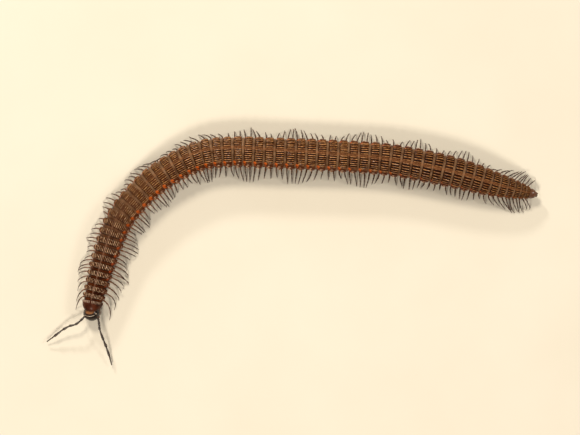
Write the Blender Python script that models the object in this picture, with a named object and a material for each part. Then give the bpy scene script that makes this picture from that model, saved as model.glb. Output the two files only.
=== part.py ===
"""Crested millipede at life size, walking in a long gentle bend.

Lengths below are millimetres and angles are degrees; a mesh is scaled to metres when it is made.
The animal lies along a centre line that is measured from the front of the head to the tip of the
tail. Across that line, right and left are the animal's own sides. +X runs towards the tail end of
the straight stretch, +Z is up, and the feet stand on z = 0.
"""
import math
import random

import bmesh
import bpy
import numpy as np
from mathutils import Vector

MM = 0.001
GAP = 0.3
FINE_GAP = 0.25
EYE_GAP = 0.06
SEED = 7

# Centre line, seen from above, from the front of the head to the tip of the tail.
CENTRE_LINE = [
    (-19.72, -10.28), (-19.74, -8.95), (-19.08, -6.27), (-18.22, -3.28), (-17.03, -0.28),
    (-15.14, 2.13), (-12.81, 4.19), (-9.36, 6.05), (-6.01, 6.55), (-2.00, 6.44), (4.01, 6.21),
    (9.01, 5.89), (13.01, 5.25), (17.01, 4.35), (21.05, 3.20), (24.90, 2.33),
]
ORIGIN_X = 0.28
ORIGIN_Y = -2.665

# Trunk.
HALF_WIDTH = 1.63
FRONT_SHARE = 0.62
FRONT_GROWTH = 7.5
GROWTH_START = 1.3
TAIL_TAPER = 12.0
TAIL_POWER = 2.2
TAIL_ROUND = 0.57
HEIGHT_SHARE = 0.96
BELLY_SHARE = 0.80
BELLY_EDGE_SHARE = 0.52
CLEARANCE = 0.45
ROLL_FRONT = 8.0
ROLL_MIDDLE = 13.0
ROLL_TAIL = -5.0
ROLL_RISE = (6.0, 14.0)
ROLL_FALL = (23.0, 20.0)
RING_PITCH_SHARE = 0.65
RING_START = 1.95
GROOVE_SHARE = 0.88
CREST_FRONT = 0.30
CREST_REAR = 0.88
CREST_FRONT_SHARE = 0.96
CREST_RISE = 0.75
CREST_HEIGHT = 0.095
CREST_VARIETY = 0.12
NODE_ENDS = (9.8, 18.0, 23.4, 34.0, 40.1, 50.0)

# Angle from the middle of the back, and the level of the surface there in crest heights.
CREST_LEVELS = [
    (0.0, -0.2), (12.0, 1.0), (23.0, -1.0), (34.0, 1.0), (45.0, -1.0), (56.0, 1.0), (67.0, -1.1),
    (80.0, 1.7), (100.0, -0.8), (125.0, 0.6), (150.0, 0.0), (180.0, 0.0),
]
FLANK_LEVEL = 1.7
LEAST_RADIUS = 0.1

# Neck shield: share of its length, share of the trunk's section and of the crest height.
COLLUM_END = 1.70
COLLUM_PROFILE = [(0.0, 0.80, 0.0), (0.3, 0.94, 0.0), (0.8, 1.0, 0.5), (1.0, 0.93, 0.0)]

# Tail end.
TELSON_LENGTH = 0.95
TELSON_SHARE = 0.90
TELSON_STATIONS = (0.0, 0.3, 0.6, 0.85, 1.0)
TELSON_POWER = 2.4
TELSON_BLUNT = 0.05
TELSON_DROP = 0.10
TELSON_HEIGHT = 0.95
TELSON_SLIT = 0.12
TELSON_SLIT_POWER = 8
TELSON_SIDES = 14

# Legs.
LEG_SPACING = 0.64
LEG_EDGE = 0.27
LEG_LAST = 1.3
LEG_ALONG = 0.42
LEG_DEEP = 0.50
FOOT_ALONG = 0.20
FOOT_DEEP = 0.20
TOE_SIZE = 0.14
FOOT_LENGTH = 0.34
ROOT_SHARE = 0.30
HIP_SHARE = 0.58
KNEE_SHARE = 1.12
ROOT_DEPTH = 0.42
HIP_DROP = 0.02
KNEE_HEIGHT = 0.86
REACH_FRONT = 1.75
REACH_MIDDLE = 1.32
REACH_TAIL = 1.18
REACH_VARIETY = 0.08
REACH_DROP = (2.0, 14.0)
REACH_FALL = (38.0, 12.0)
RIGHT_TUCK = 0.42
TUCK_END = (4.0, 10.0)
FRONT_TUCK = 0.85
FRONT_TUCK_END = (2.0, 4.0)
SWING_FRONT = 1.60
SWING_FADE = 6.0
SWING_TAIL = 1.0
TAIL_SWING = (45.0, 9.0)
KNEE_SWING = 0.25
SHIN_END = 8.0
SHIN_SHARE = 0.68
SHIN_SWING = 0.42
SHIN_HEIGHT = 0.62
SHIN_SIZE = 0.30

# Middles of the bunches that the feet gather in; between them the feet are drawn in.
BUNCHES = (2.0, 5.2, 8.2, 11.5, 15.2, 20.7, 26.0, 30.2, 37.7, 42.6, 47.2, 52.8, 57.0)
BUNCH_PULL = 0.060
DRAWN_IN = 0.46
DRAWN_RISE = (3.0, 5.0)
BEND_START = 9.0
BEND_END = 21.0
INNER_PULL = 0.4
OUTER_BEND = (18.5, 6.0)
OUTER_SWING = 0.95
OUTER_TUCK = 0.42
LEFT_TUCKS = [(19.5, 3.0, 0.25), (44.5, 4.5, 0.48)]

# Head, with the face turned down a little.
HEAD_PLACE = 0.70
HEAD_HEIGHT = 1.08
HEAD_RADII = (0.76, 0.80, 0.76)
HEAD_BACK = 0.86
FACE_NARROW = 0.26
FACE_NARROW_BEHIND = 0.4
FACE_FLAT = 0.10
BACK_BLOCK = (1.0, 2.0, 2.0)
COLLUM_START = HEAD_BACK + FINE_GAP

# Places on the head ahead of its middle, to the side and up, with the radii of each form.
CHEEK_PLACE = (-0.06, 0.57, -0.26)
CHEEK_RADII = (0.42, 0.30, 0.41)
SOCKET_PLACE = (0.46, 0.47, 0.10)
SOCKET_RADII = (0.19, 0.20, 0.20)
EYE_PLACE = (0.15, 0.63, 0.27)
EYE_RADII = (0.20, 0.13, 0.17)
MOUTH_PLACE = (0.64, 0.0, -0.36)
MOUTH_SIZES = (0.22, 0.42, 0.05)

# Antennae: the joints from the head to the tip.
ANTENNA_RIGHT = [
    (-20.56, -9.95, 1.23), (-20.83, -10.28, 1.32), (-21.33, -10.69, 1.34), (-21.95, -10.83, 1.25),
    (-22.62, -11.18, 1.08), (-23.52, -11.83, 0.76), (-24.32, -12.37, 0.42),
]
ANTENNA_LEFT = [
    (-19.05, -10.28, 1.22), (-19.00, -10.69, 1.32), (-18.94, -11.20, 1.33), (-18.58, -12.20, 1.18),
    (-18.30, -12.90, 0.95), (-18.01, -13.80, 0.66), (-17.78, -14.71, 0.40),
]
ANTENNA_THICK = 0.50
ANTENNA_TIP = 0.26
ANTENNA_WAIST = 0.74
ANTENNA_CLUB = 0.8
ANTENNA_END_SHARE = 0.3
ANTENNA_SIDES = 8

# Colour, roughness and metallic value of each finish.
FINISH = {
    "body": ((0.075, 0.036, 0.022), 0.42, 0.0),
    "shield": ((0.060, 0.022, 0.012), 0.30, 0.0),
    "head": ((0.045, 0.018, 0.010), 0.25, 0.0),
    "feeler": ((0.022, 0.014, 0.012), 0.40, 0.0),
    "eye": ((0.008, 0.006, 0.006), 0.12, 0.0),
}


def smooth_step(value):
    """0 up to 0, 1 from 1 on, and smooth between."""
    value = min(max(value, 0.0), 1.0)
    return value * value * (3.0 - 2.0 * value)


def ease(s, span):
    """How far a change along the trunk has come, from its start over its length."""
    start, length = span
    return smooth_step((s - start) / length)


class CentreLine:
    """A smooth curve through the points, measured by the length along it."""

    STEPS = 40

    def __init__(self, points):
        knots = [np.array(p) for p in points]
        knots = [2 * knots[0] - knots[1]] + knots + [2 * knots[-1] - knots[-2]]
        curve = []
        for a, b, c, d in zip(knots, knots[1:], knots[2:], knots[3:]):
            for t in np.linspace(0.0, 1.0, self.STEPS, endpoint=False):
                curve.append(0.5 * (2 * b + (c - a) * t + (2 * a - 5 * b + 4 * c - d) * t ** 2
                                    + (3 * b - a - 3 * c + d) * t ** 3))
        curve.append(knots[-2])
        self.points = np.array(curve)
        steps = np.linalg.norm(np.diff(self.points, axis=0), axis=1)
        self.lengths = np.concatenate([[0.0], np.cumsum(steps)])
        turn = np.gradient(self.points, self.lengths, axis=0)
        self.headings = np.unwrap(np.arctan2(turn[:, 1], turn[:, 0]))
        self.total = float(self.lengths[-1])

    def at(self, s):
        """Place and heading at the length s; the curve runs on straight past both ends."""
        inside = min(max(s, 0.0), self.total)
        x = float(np.interp(inside, self.lengths, self.points[:, 0]))
        y = float(np.interp(inside, self.lengths, self.points[:, 1]))
        heading = float(np.interp(inside, self.lengths, self.headings))
        over = s - inside
        return x + over * math.cos(heading), y + over * math.sin(heading), heading


LINE = CentreLine(CENTRE_LINE)


def half_width(s):
    """Half the width of the trunk over its pore crests."""
    growth = FRONT_SHARE + (1.0 - FRONT_SHARE) * (1.0 - math.exp(-(s - GROWTH_START) / FRONT_GROWTH))
    left = max(LINE.total - s, 0.0)
    taper = 1.0
    if left < TAIL_TAPER:
        taper = (1.0 - (1.0 - left / TAIL_TAPER) ** TAIL_POWER) ** TAIL_ROUND
    return HALF_WIDTH * growth * taper


def roll(s):
    """Lean of the back towards the right side, in radians."""
    rise = ROLL_FRONT + (ROLL_MIDDLE - ROLL_FRONT) * ease(s, ROLL_RISE)
    angle = rise + (ROLL_TAIL - ROLL_MIDDLE) * ease(s, ROLL_FALL)
    return math.radians(angle)


def centre_height(s):
    """Height of the trunk's middle, which keeps the belly clear of the ground by one amount."""
    radius = half_width(s)
    lean = roll(s)
    edge = BELLY_EDGE_SHARE * math.sin(abs(lean))
    return CLEARANCE + radius * (BELLY_SHARE * math.cos(lean) + edge)


def frame_at(s):
    """Middle of the trunk with the directions to the tail, to the right side and up."""
    x, y, heading = LINE.at(s)
    lean = roll(s)
    tail = Vector((math.cos(heading), math.sin(heading), 0.0))
    level = Vector((-math.sin(heading), math.cos(heading), 0.0))
    right = level * math.cos(lean) - Vector((0, 0, math.sin(lean)))
    up = level * math.sin(lean) + Vector((0, 0, math.cos(lean)))
    return Vector((x, y, centre_height(s))), tail, right, up


def finish(obj, kind):
    """Give the object its own material."""
    colour, roughness, metallic = FINISH[kind]
    material = bpy.data.materials.new(obj.name + "_finish")
    material.use_nodes = True
    shader = material.node_tree.nodes["Principled BSDF"]
    shader.inputs["Base Color"].default_value = (*colour, 1.0)
    shader.inputs["Roughness"].default_value = roughness
    shader.inputs["Metallic"].default_value = metallic
    obj.data.materials.clear()
    obj.data.materials.append(material)


def to_object(name, bm, collection):
    """Turn a mesh in millimetres, given from the frame's middle, into an object in metres."""
    shift = Vector((-ORIGIN_X, -ORIGIN_Y, 0.0))
    for vertex in bm.verts:
        vertex.co = (vertex.co + shift) * MM
    bmesh.ops.recalc_face_normals(bm, faces=bm.faces)
    mesh = bpy.data.meshes.new(name)
    bm.to_mesh(mesh)
    bm.free()
    obj = bpy.data.objects.new(name, mesh)
    collection.objects.link(obj)
    return obj


def loft(name, loops, collection):
    """A closed body through loops of equal count, with a flat cap on each end."""
    bm = bmesh.new()
    rows = [[bm.verts.new(point) for point in loop] for loop in loops]
    for near, far in zip(rows, rows[1:]):
        count = len(near)
        for i in range(count):
            j = (i + 1) % count
            bm.faces.new((near[i], near[j], far[j], far[i]))
    bm.faces.new(rows[0])
    bm.faces.new(list(reversed(rows[-1])))
    bmesh.ops.triangulate(bm, faces=bm.faces, quad_method="FIXED")
    return to_object(name, bm, collection)


def ellipsoid(name, middle, axes, radii, collection, columns=16, rows=10, shape=None):
    """A sphere scaled along three directions; shape may move each point of the unit sphere."""
    bm = bmesh.new()
    bmesh.ops.create_uvsphere(bm, u_segments=columns, v_segments=rows, radius=1.0)
    for vertex in bm.verts:
        unit = shape(vertex.co) if shape else vertex.co
        offset = Vector()
        for value, axis, radius in zip(unit, axes, radii):
            offset += axis * (value * radius)
        vertex.co = middle + offset
    bmesh.ops.triangulate(bm, faces=bm.faces)
    return to_object(name, bm, collection)


def keep_largest(obj):
    """Keep only the closed surface with the greatest volume."""
    bm = bmesh.new()
    bm.from_mesh(obj.data)
    bm.faces.ensure_lookup_table()
    seen = set()
    shells = []
    for face in bm.faces:
        if face.index in seen:
            continue
        shell = []
        waiting = [face]
        seen.add(face.index)
        while waiting:
            current = waiting.pop()
            shell.append(current)
            for edge in current.edges:
                for other in edge.link_faces:
                    if other.index not in seen:
                        seen.add(other.index)
                        waiting.append(other)
        shells.append(shell)

    def size(shell):
        total = 0.0
        for face in shell:
            a = face.verts[0].co
            for b, c in zip(face.verts[1:], face.verts[2:]):
                total += a.dot(b.co.cross(c.co))
        return total

    shells.sort(key=size, reverse=True)
    loose = [face for shell in shells[1:] for face in shell]
    bmesh.ops.delete(bm, geom=loose, context="FACES")
    bmesh.ops.triangulate(bm, faces=bm.faces)
    bm.to_mesh(obj.data)
    bm.free()


def apply_boolean(obj, tools, operation, solver="EXACT"):
    """Join or cut the object with a collection of closed meshes, then drop that collection."""
    modifier = obj.modifiers.new(operation.lower(), "BOOLEAN")
    modifier.operation = operation
    modifier.operand_type = "COLLECTION"
    modifier.collection = tools
    modifier.solver = solver
    depsgraph = bpy.context.evaluated_depsgraph_get()
    result = bpy.data.meshes.new_from_object(obj.evaluated_get(depsgraph))
    obj.modifiers.clear()
    obj.data = result
    for tool in list(tools.objects):
        bpy.data.objects.remove(tool, do_unlink=True)
    bpy.data.collections.remove(tools)
    keep_largest(obj)


def new_collection(name):
    """An empty collection in the scene."""
    collection = bpy.data.collections.new(name)
    bpy.context.scene.collection.children.link(collection)
    return collection


def section(s, share, crest):
    """One loop round the trunk: share scales it, crest is the height of its crests."""
    middle, _, right, up = frame_at(s)
    radius = half_width(s)
    body = max((radius - FLANK_LEVEL * CREST_HEIGHT) * share, LEAST_RADIUS)
    points = []
    mirrored = [(-angle, level) for angle, level in reversed(CREST_LEVELS[1:-1])]
    for angle, level in CREST_LEVELS + mirrored:
        theta = math.radians(angle)
        out = body + level * crest
        across = out * math.sin(theta)
        height = out * HEIGHT_SHARE * math.cos(theta)
        height = max(height, -BELLY_SHARE * body)
        points.append(middle + right * across + up * height)
    return points


def ring_bounds():
    """Where each ring starts, from the neck shield to the tail end."""
    starts = [RING_START]
    end = LINE.total - TELSON_LENGTH
    while starts[-1] < end:
        starts.append(starts[-1] + RING_PITCH_SHARE * half_width(starts[-1]))
    starts.pop()
    stretch = (end - RING_START) / (starts[-1] - RING_START)
    return [RING_START + (start - RING_START) * stretch for start in starts]


def node_spans(bounds):
    """First and last ring boundary of each trunk node."""
    cuts = [0]
    for place in NODE_ENDS:
        cuts.append(min(range(len(bounds)), key=lambda i: abs(bounds[i] - place)))
    cuts.append(len(bounds) - 1)
    return list(zip(cuts, cuts[1:]))


def trunk_loops(bounds, first, last, rng):
    """Loops of a length of trunk: a groove, a crest front and a crest rear for each ring."""
    loops = [section(bounds[first] + GAP / 2, GROOVE_SHARE, 0.0)]
    for index in range(first, last):
        start = bounds[index]
        pitch = bounds[index + 1] - start
        crest = CREST_HEIGHT * (1.0 + CREST_VARIETY * rng.uniform(-1.0, 1.0))
        crest *= half_width(start) / HALF_WIDTH
        if index > first:
            loops.append(section(start, GROOVE_SHARE, 0.0))
        loops.append(section(start + CREST_FRONT * pitch, CREST_FRONT_SHARE, crest * CREST_RISE))
        loops.append(section(start + CREST_REAR * pitch, 1.0, crest))
    loops.append(section(bounds[last] - GAP / 2, GROOVE_SHARE, 0.0))
    return loops


def leg_places(bounds, first, last):
    """Where the legs of a length of trunk grow, evenly spaced and clear of its ends."""
    low = bounds[first] + GAP / 2 + LEG_EDGE
    high = min(bounds[last] - GAP / 2 - LEG_EDGE, LINE.total - LEG_LAST)
    steps = int((high - low) / LEG_SPACING)
    return [low + (high - low) * step / steps for step in range(steps + 1)]


def bunch_span(s):
    """The middles of the bunches of feet before and behind a place."""
    after = next(i for i, place in enumerate(BUNCHES) if place > s)
    return BUNCHES[after - 1], BUNCHES[after]


def swing(s, side):
    """How far the foot stands towards the tail from its root."""
    forward = -SWING_FRONT * math.exp(-((s / SWING_FADE) ** 2))
    back = SWING_TAIL * ease(s, TAIL_SWING)
    low, high = bunch_span(s)
    pull = -BUNCH_PULL * (high - low) * math.sin(2.0 * math.pi * (s - low) / (high - low))
    if side < 0 and BEND_START < s < BEND_END:
        pull *= INNER_PULL
    return forward + back + pull - OUTER_SWING * outer_bend(s, side)


def outer_bend(s, side):
    """Share of the close forward stance of the legs on the outer side of the bend."""
    middle, spread = OUTER_BEND
    return math.exp(-(((s - middle) / spread) ** 2)) if side > 0 else 0.0


def reach(s, side):
    """How far the foot stands out past the trunk's flank."""
    out = REACH_FRONT + (REACH_MIDDLE - REACH_FRONT) * ease(s, REACH_DROP)
    out += (REACH_TAIL - REACH_MIDDLE) * ease(s, REACH_FALL)
    out -= FRONT_TUCK * (1.0 - ease(s, FRONT_TUCK_END))
    if side > 0:
        out -= RIGHT_TUCK * (1.0 - ease(s, TUCK_END))
    out -= OUTER_TUCK * outer_bend(s, side)
    if side < 0:
        out -= sum(tuck * math.exp(-(((s - place) / spread) ** 2)) for place, spread, tuck in LEFT_TUCKS)
    low, high = bunch_span(s)
    drawn_in = math.sin(math.pi * (s - low) / (high - low)) ** 2 * ease(s, DRAWN_RISE)
    return out * (1.0 - DRAWN_IN * drawn_in)


def box_section(middle, along, deep, size_along, size_deep):
    """Four corners of a leg's section."""
    a = along * (size_along / 2)
    d = deep * (size_deep / 2)
    return [middle + a + d, middle - a + d, middle - a - d, middle + a - d]


def leg_loops(s, side, rng):
    """Sections of one leg: root inside the belly, hip, knee, ankle and a flat toe.

    The long front legs have one more section, which bends them forward below the knee.
    """
    middle, tail, right, up = frame_at(s)
    radius = half_width(s)
    level = Vector((right.x, right.y, 0.0)).normalized() * side
    belly = middle - up * (BELLY_SHARE * radius)
    root = belly + right * (side * ROOT_SHARE * radius) + up * ROOT_DEPTH
    hip = belly + right * (side * HIP_SHARE * radius) - up * HIP_DROP
    out = radius + reach(s, side) + REACH_VARIETY * rng.uniform(-1.0, 1.0)
    shift = tail * swing(s, side)
    knee_out = KNEE_SHARE * radius
    knee = Vector((middle.x, middle.y, KNEE_HEIGHT)) + level * knee_out + shift * KNEE_SWING
    toe = Vector((middle.x, middle.y, TOE_SIZE / 2)) + level * out + shift
    outward = Vector((toe.x - knee.x, toe.y - knee.y, 0.0)).normalized()
    ankle = toe - outward * FOOT_LENGTH
    ankle.z = FOOT_DEEP / 2
    upright = Vector((0.0, 0.0, 1.0))
    sideways = upright.cross(outward)
    if sideways.dot(tail) < 0:
        sideways = -sideways
    bend = ((knee - hip).normalized() + (ankle - knee).normalized()).normalized()
    knee_deep = bend.cross(tail).normalized()
    if knee_deep.z < 0:
        knee_deep = -knee_deep
    loops = [
        box_section(root, tail, level, LEG_ALONG, LEG_DEEP),
        box_section(hip, tail, (upright + level / 2).normalized(), LEG_ALONG, LEG_DEEP),
        box_section(knee, tail, knee_deep, LEG_ALONG, LEG_DEEP),
        box_section(ankle, sideways, upright, FOOT_ALONG, FOOT_DEEP),
        box_section(toe, sideways, upright, TOE_SIZE, TOE_SIZE),
    ]
    if s < SHIN_END:
        shin_out = knee_out + SHIN_SHARE * (out - knee_out)
        shin = Vector((middle.x, middle.y, SHIN_HEIGHT)) + level * shin_out + shift * SHIN_SWING
        along = (tail + sideways).normalized()
        loops.insert(3, box_section(shin, along, upright, SHIN_SIZE, SHIN_SIZE))
    return loops


def make_trunk(parts, bounds):
    """The trunk in its lengths, each with the legs that grow from it."""
    for number, (first, last) in enumerate(node_spans(bounds), start=1):
        name = "trunk_%d" % number
        rng = random.Random(SEED + number)
        trunk = loft(name, trunk_loops(bounds, first, last, rng), parts)
        legs = new_collection("legs_%d" % number)
        for place in leg_places(bounds, first, last):
            for side in (1, -1):
                loft("leg", leg_loops(place, side, rng), legs)
        apply_boolean(trunk, legs, "UNION", solver="MANIFOLD")
        finish(trunk, "body")


def make_collum(parts):
    """The smooth shield behind the head, round in front and crested along its rear edge."""
    length = COLLUM_END - COLLUM_START
    loops = []
    for share, size, crest in COLLUM_PROFILE:
        loops.append(section(COLLUM_START + share * length, size, crest * CREST_HEIGHT))
    finish(loft("collum", loops, parts), "shield")


def make_telson(parts, bounds):
    """The last piece of the tail, closing in two rounded valves."""
    start = bounds[-1] + GAP / 2
    end = LINE.total
    loops = []
    base = half_width(bounds[-1]) * TELSON_SHARE
    middle, _, right, up = frame_at(bounds[-1])
    for share in TELSON_STATIONS:
        place, _, _, _ = frame_at(start + share * (end - start))
        size = base * math.sqrt(max(1.0 - share ** TELSON_POWER, TELSON_BLUNT))
        centre = Vector((place.x, place.y, middle.z - TELSON_DROP * share))
        loop = []
        for k in range(TELSON_SIDES):
            theta = 2.0 * math.pi * k / TELSON_SIDES
            slit = 1.0 - TELSON_SLIT * share * abs(math.cos(theta)) ** TELSON_SLIT_POWER
            loop.append(centre + right * (size * math.sin(theta))
                        + up * (size * TELSON_HEIGHT * slit * math.cos(theta)))
        loops.append(loop)
    finish(loft("telson", loops, parts), "body")


def head_frame():
    """Middle of the head with the directions forward, to the right side and up."""
    middle, tail, right, up = frame_at(HEAD_PLACE)
    return Vector((middle.x, middle.y, HEAD_HEIGHT)), -tail, right, up


def face_shape(unit):
    """Narrow the lower face and flatten the front of the head."""
    low = smooth_step(-unit.z)
    ahead = smooth_step(unit.x)
    narrow = 1.0 - FACE_NARROW * low * (FACE_NARROW_BEHIND + (1.0 - FACE_NARROW_BEHIND) * ahead)
    return Vector((unit.x * (1.0 - FACE_FLAT * low), unit.y * narrow, unit.z))


def on_head(place, side=1):
    """A point given ahead of the head's middle, to one side and up."""
    middle, forward, right, up = head_frame()
    return middle + forward * place[0] + right * (side * place[1]) + up * place[2]


def make_head(parts):
    """Head capsule with cheek lobes, antenna sockets, eye hollows and the line of the mouth."""
    middle, forward, right, up = head_frame()
    axes = (forward, right, up)
    head = ellipsoid("head", middle, axes, HEAD_RADII, parts, columns=20, rows=12, shape=face_shape)
    lobes = new_collection("lobes")
    for side in (1, -1):
        ellipsoid("cheek", on_head(CHEEK_PLACE, side), axes, CHEEK_RADII, lobes, columns=12, rows=8)
        ellipsoid("socket", on_head(SOCKET_PLACE, side), axes, SOCKET_RADII, lobes, columns=10, rows=6)
    apply_boolean(head, lobes, "UNION")
    cuts = new_collection("cuts")
    behind = HEAD_BACK - HEAD_PLACE + BACK_BLOCK[0]
    slab(cuts, "back", middle - forward * behind, axes, BACK_BLOCK)
    slab(cuts, "mouth", on_head(MOUTH_PLACE), axes, MOUTH_SIZES)
    grown = [radius + EYE_GAP for radius in EYE_RADII]
    for side in (1, -1):
        ellipsoid("hollow", on_head(EYE_PLACE, side), axes, grown, cuts, columns=12, rows=8)
    apply_boolean(head, cuts, "DIFFERENCE")
    finish(head, "head")


def slab(collection, name, middle, axes, half_sizes):
    """A plain block used as a cutter."""
    bm = bmesh.new()
    bmesh.ops.create_cube(bm, size=2.0)
    for vertex in bm.verts:
        offset = Vector()
        for value, axis, half in zip(vertex.co, axes, half_sizes):
            offset += axis * (value * half)
        vertex.co = middle + offset
    return to_object(name, bm, collection)


def make_eyes(parts):
    """The two patches of small eyes."""
    _, forward, right, up = head_frame()
    for name, side in (("eye_right", 1), ("eye_left", -1)):
        place = on_head(EYE_PLACE, side)
        eye = ellipsoid(name, place, (forward, right, up), EYE_RADII, parts, columns=12, rows=6)
        finish(eye, "eye")


def tube_section(middle, direction, radius):
    """A ring of points square to a direction."""
    side = direction.cross(Vector((0.0, 0.0, 1.0))).normalized()
    rise = side.cross(direction)
    points = []
    for k in range(ANTENNA_SIDES):
        angle = 2.0 * math.pi * k / ANTENNA_SIDES
        points.append(middle + side * (radius * math.cos(angle)) + rise * (radius * math.sin(angle)))
    return points


def make_antenna(parts, name, joints):
    """Seven joints, each thicker towards its outer end."""
    points = [Vector(joint) for joint in joints]
    loops = []
    count = len(points) - 1
    for index in range(count):
        start = points[index]
        step = points[index + 1] - start
        before = points[index] - points[index - 1] if index else step
        after = points[index + 2] - points[index + 1] if index + 2 <= count else step
        thick = ANTENNA_THICK + (ANTENNA_TIP - ANTENNA_THICK) * (index / count)
        waist = thick * ANTENNA_WAIST
        loops.append(tube_section(start, (before.normalized() + step.normalized()).normalized(),
                                  waist / 2))
        loops.append(tube_section(start + step * ANTENNA_CLUB, step.normalized(), thick / 2))
    end = points[-1]
    direction = (points[-1] - points[-2]).normalized()
    loops.append(tube_section(end, direction, ANTENNA_TIP * ANTENNA_END_SHARE))
    finish(loft(name, loops, parts), "feeler")


def main():
    for obj in list(bpy.data.objects):
        bpy.data.objects.remove(obj, do_unlink=True)
    parts = new_collection("crested_millipede")
    bounds = ring_bounds()
    make_head(parts)
    make_eyes(parts)
    make_antenna(parts, "antenna_right", ANTENNA_RIGHT)
    make_antenna(parts, "antenna_left", ANTENNA_LEFT)
    make_collum(parts)
    make_trunk(parts, bounds)
    make_telson(parts, bounds)


main()
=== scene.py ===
"""Looks of the crested millipede: ringed and crested trunk, shield, head, feelers and fine legs.

Lengths are millimetres and angles degrees; a mesh is scaled to metres when it is made. The centre
line, the widths, the lean and the stance repeat the named sizes that the solids are made from.
"""

import math

import bpy
import numpy as np
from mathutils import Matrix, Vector


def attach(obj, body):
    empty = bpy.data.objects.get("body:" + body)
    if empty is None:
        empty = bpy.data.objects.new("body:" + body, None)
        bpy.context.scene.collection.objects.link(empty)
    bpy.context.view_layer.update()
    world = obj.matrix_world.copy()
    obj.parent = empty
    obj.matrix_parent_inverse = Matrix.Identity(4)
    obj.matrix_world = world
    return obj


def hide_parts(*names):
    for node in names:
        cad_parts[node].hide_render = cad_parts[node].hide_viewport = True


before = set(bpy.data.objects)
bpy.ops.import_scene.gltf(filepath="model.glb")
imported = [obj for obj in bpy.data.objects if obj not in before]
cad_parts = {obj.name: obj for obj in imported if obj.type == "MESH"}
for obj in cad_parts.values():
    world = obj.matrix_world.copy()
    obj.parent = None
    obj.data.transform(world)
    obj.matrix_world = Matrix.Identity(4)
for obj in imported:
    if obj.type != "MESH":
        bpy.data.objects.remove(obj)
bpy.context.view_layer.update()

MM = 0.001
VERTICAL = np.array((0.0, 0.0, 1.0))
RNG = np.random.default_rng(11)

# Centre line, seen from above, from the front of the head to the tip of the tail.
CENTRE_LINE = [
    (-19.72, -10.28), (-19.74, -8.95), (-19.08, -6.27), (-18.22, -3.28), (-17.03, -0.28),
    (-15.14, 2.13), (-12.81, 4.19), (-9.36, 6.05), (-6.01, 6.55), (-2.0, 6.44), (4.01, 6.21),
    (9.01, 5.89), (13.01, 5.25), (17.01, 4.35), (21.05, 3.2), (24.9, 2.33),
]
CURVE_STEPS = 40
ORIGIN = np.array((0.28, -2.665, 0.0))

# Widths, height and lean of the trunk along its length. A pair of values that names a change is
# the place where it starts and its length.
HALF_WIDTH = 1.63
FRONT_SHARE = 0.62
FRONT_GROWTH = 7.5
GROWTH_START = 1.3
TAIL_TAPER = 12.0
TAIL_POWER = 2.2
TAIL_ROUND = 0.57
HEIGHT_SHARE = 0.915
BELLY_SHARE = 0.8
BELLY_EDGE_SHARE = 0.52
CLEARANCE = 0.45
ROLL_FRONT = 8.0
ROLL_MIDDLE = 13.0
ROLL_TAIL = -5.0
ROLL_RISE = (6.0, 14.0)
ROLL_FALL = (23.0, 20.0)

# Shield, rings, the places where the pieces of the trunk end, tail end and head.
COLLUM_START = 0.93
RING_START = 1.95
RING_PITCH_SHARE = 0.65
SINGLE_PAIR_RINGS = 3
NODE_ENDS = (9.8, 18.0, 23.4, 34.0, 40.1, 50.0)
TELSON_LENGTH = 0.95
HEAD_PLACE = 0.7
HEAD_HEIGHT = 1.08

# Crests on one side: angle from the middle of the back, half width in degrees and height; on the
# back also the angle and the share of the height near the tail, where they are fewer and broader.
BACK_CRESTS = [
    (7.5, 2.7, 0.085, 6.0, 1.0), (15.5, 2.9, 0.11, 17.0, 0.8), (23.5, 2.7, 0.085, 28.0, 1.0),
    (31.5, 2.9, 0.115, 39.0, 0.8), (39.5, 2.7, 0.085, 50.0, 1.0), (47.5, 2.9, 0.115, 61.0, 0.7),
    (56.0, 3.0, 0.09, 65.0, 0.1), (63.5, 3.0, 0.06, 68.0, 0.1),
]
PORE_CREST = (72.0, 6.5, 0.115)
FLANK_CRESTS = [
    (85.0, 4.9, 0.085), (94.0, 4.6, 0.06), (103.0, 4.6, 0.055), (112.0, 4.6, 0.05),
    (121.0, 4.6, 0.04), (130.0, 4.6, 0.03),
]
CREST_POWER = 2.2
TAIL_CREST = (33.0, 12.0)
TAIL_CREST_WIDENING = 0.5
# A crest's paleness is partly its own tone and partly painted highlight on its top.
# How pale a crest is: least share, height that adds a full share, share on the flank, loss near
# the tail, and how long a crest that gets lower there stays pale. Paleness begins with the rise.
PALE_FROM = (0.05, 0.5)
LEAST_TONE = 0.35
FULL_TONE_HEIGHT = 0.14
FLANK_TONE = 0.55
TAIL_TONE_LOSS = 0.12
KEPT_TONE = 1.6
# Unevenness of the crests; a pair is the value on the later rings and what the first rings add.
CREST_WOBBLE = 0.22
CHIPS = (0.16, 0.22)
CREST_LIMIT = (1.15, 0.15)
FRONT_CREST_RISE = 0.15
# Pore crest along a ring: start, its shift on the first rings, rise, end and fall.
PORE_LOBE = (0.24, 0.08, 0.26, 1.03, 0.24)
FRONT_PORE_RISE = 0.085
# Painted glint on the tip of the pore crest: angle, half width in degrees, place and length along the
# ring, how much it has of the knobs' colour, and of the first rings' paleness on later and on first rings.
PORE_GLINT = (74.0, 5.6, 0.62, 0.19)
GLINT_SHIFT = 0.04
GLINT_KNOB = 0.95
GLINT_FRONT = (0.28, 0.52)
PORE_TONE = 0.58
# Knobs on the flank: angle, place along the ring, height; then their size and colouring, paler towards
# the tops, which is partly painted highlight.
FLANK_NODULES = [(84.0, 0.54, 0.17), (82.0, 0.9, 0.1), (97.0, 0.62, 0.19), (110.0, 0.56, 0.12)]
KNOB_WIDTH = 5.6
KNOB_LENGTH = 0.18
FRONT_KNOB_LOSS = 0.35
KNOB_PALE_HEIGHT = 0.15
KNOB_CLEARING = 0.1

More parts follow.
